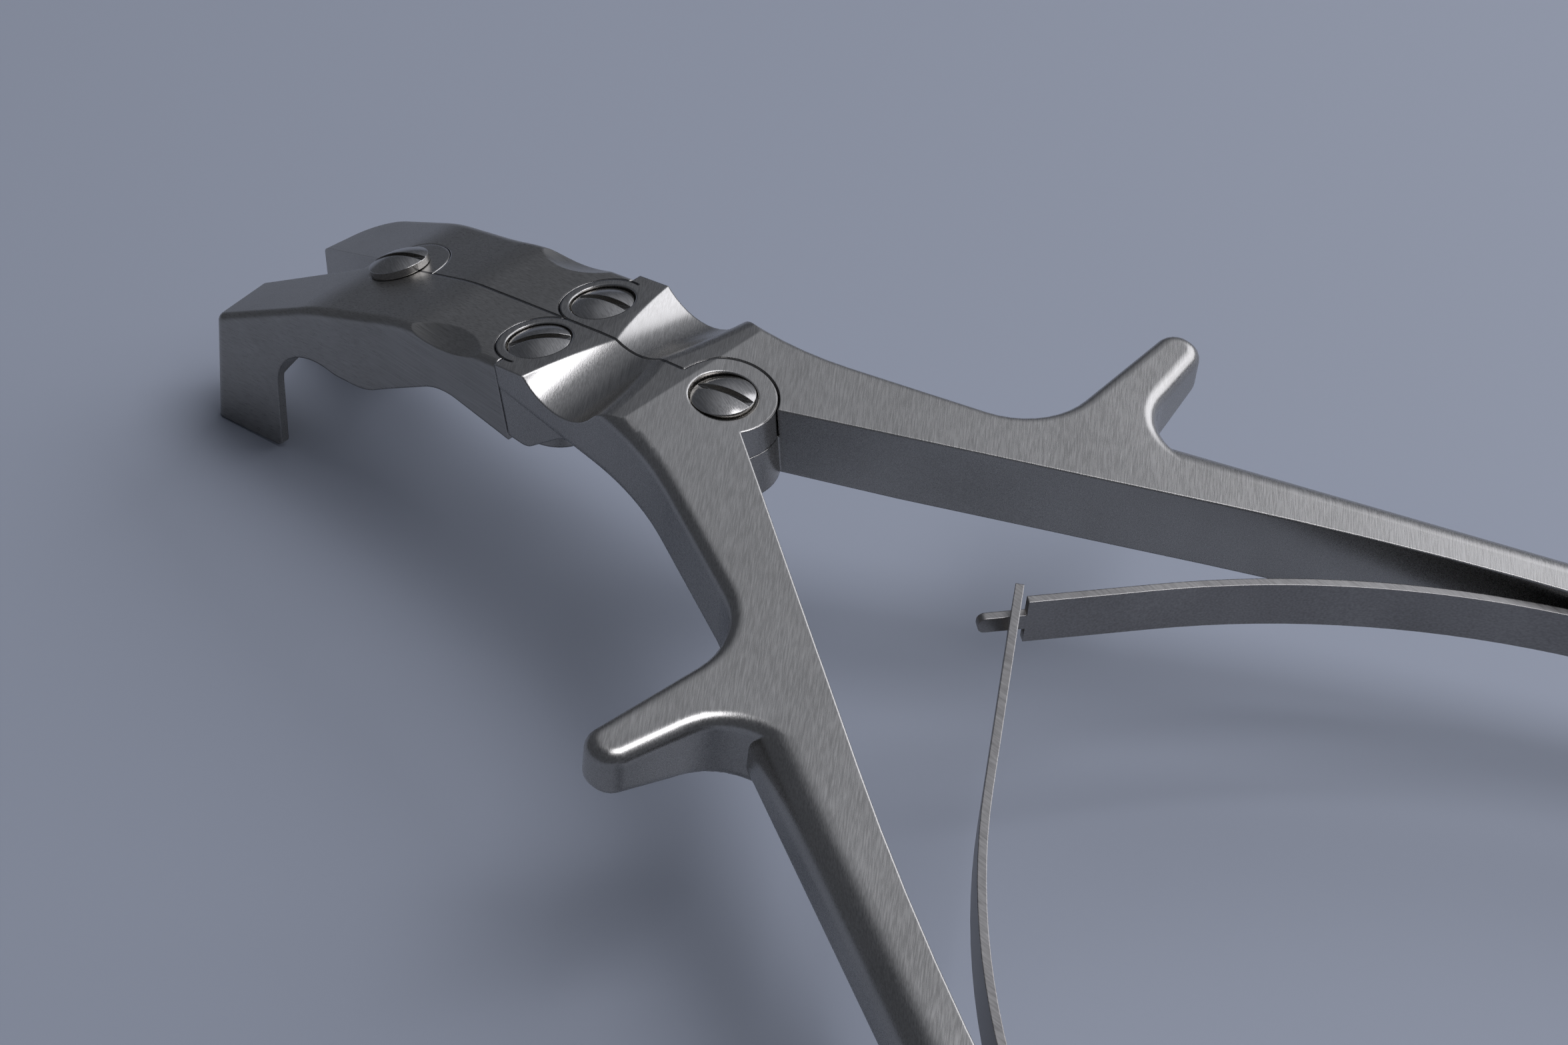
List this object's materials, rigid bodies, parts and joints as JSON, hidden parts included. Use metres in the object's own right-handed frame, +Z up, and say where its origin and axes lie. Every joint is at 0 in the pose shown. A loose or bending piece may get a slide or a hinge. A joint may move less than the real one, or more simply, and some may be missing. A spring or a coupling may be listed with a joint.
{
  "type": "rib shears",
  "caption": "Double-action surgical rib shears: two sprung handles with finger spurs close a pair of hooked jaws through a four-bar linkage.",
  "frame": {"origin": "on the table, at the centre of the bounding box's bottom face, the shears lying on the jaw tips and the handle ends", "axes": "+X along the tool towards the handle ends, +Y towards the handle that ends in the tongued spring (side B), +Z up from the table"},
  "size_m": [0.274, 0.1674, 0.0337],
  "materials": {
    "handle_steel": "satin brushed stainless steel",
    "jaw_steel": "satin stainless steel with polished edges",
    "screw_steel": "polished stainless steel",
    "spring_steel": "polished spring steel strip"
  },
  "bodies": {
    "handle_a": {"handle_a": "handle_steel", "spring_screw_a": "screw_steel"},
    "handle_b": {"handle_b": "handle_steel", "proximal_pivot_screw": "screw_steel", "spring_screw_b": "screw_steel"},
    "jaw_a": {"jaw_a": "jaw_steel", "link_screw_a": "screw_steel"},
    "jaw_b": {"jaw_b": "jaw_steel", "link_screw_b": "screw_steel", "distal_pivot_screw": "screw_steel"},
    "spring_a": {"leaf_spring_a": "spring_steel"},
    "spring_b": {"leaf_spring_b": "spring_steel"}
  },
  "joints": [
    {"name": "handle_squeeze", "type": "hinge", "parent": "handle_a", "child": "handle_b", "pos_m": [-0.06641, 0, 0.03295], "axis": [-0.0384, 0, 0.9993], "range_deg": [-31, 0], "stiffness_Nm_per_rad": 2, "springref_deg": 5.73, "deforming": ["leaf_spring_a", "leaf_spring_b"]},
    {"name": "jaw_a_swing", "type": "hinge", "parent": "handle_a", "child": "jaw_a", "pos_m": [-0.08897, -0.00464, 0.0304], "axis": [-0.1811, -0.0294, 0.983], "range_deg": [-28, 0]},
    {"name": "jaw_b_swing", "type": "hinge", "parent": "handle_b", "child": "jaw_b", "pos_m": [-0.08897, 0.00464, 0.0304], "axis": [-0.1811, 0.0294, 0.983], "range_deg": [0, 28]},
    {"name": "spring_a_flex", "type": "hinge", "parent": "handle_a", "child": "spring_a", "pos_m": [0.03483, -0.05485, 0.01647], "axis": [0.1182, 0, 0.993], "range_deg": [0, 7.4]},
    {"name": "spring_b_flex", "type": "hinge", "parent": "handle_b", "child": "spring_b", "pos_m": [0.02803, 0.05214, 0.01728], "axis": [0.1182, 0, 0.993], "range_deg": [-9.3, 0]}
  ],
  "couplings": [
    {"joint": "jaw_a_swing", "follows": "handle_squeeze", "ratio": 0.8882},
    {"joint": "jaw_b_swing", "follows": "handle_squeeze", "ratio": -0.8882},
    {"joint": "spring_a_flex", "follows": "handle_squeeze", "ratio": -0.236},
    {"joint": "spring_b_flex", "follows": "handle_squeeze", "ratio": 0.295}
  ]
}
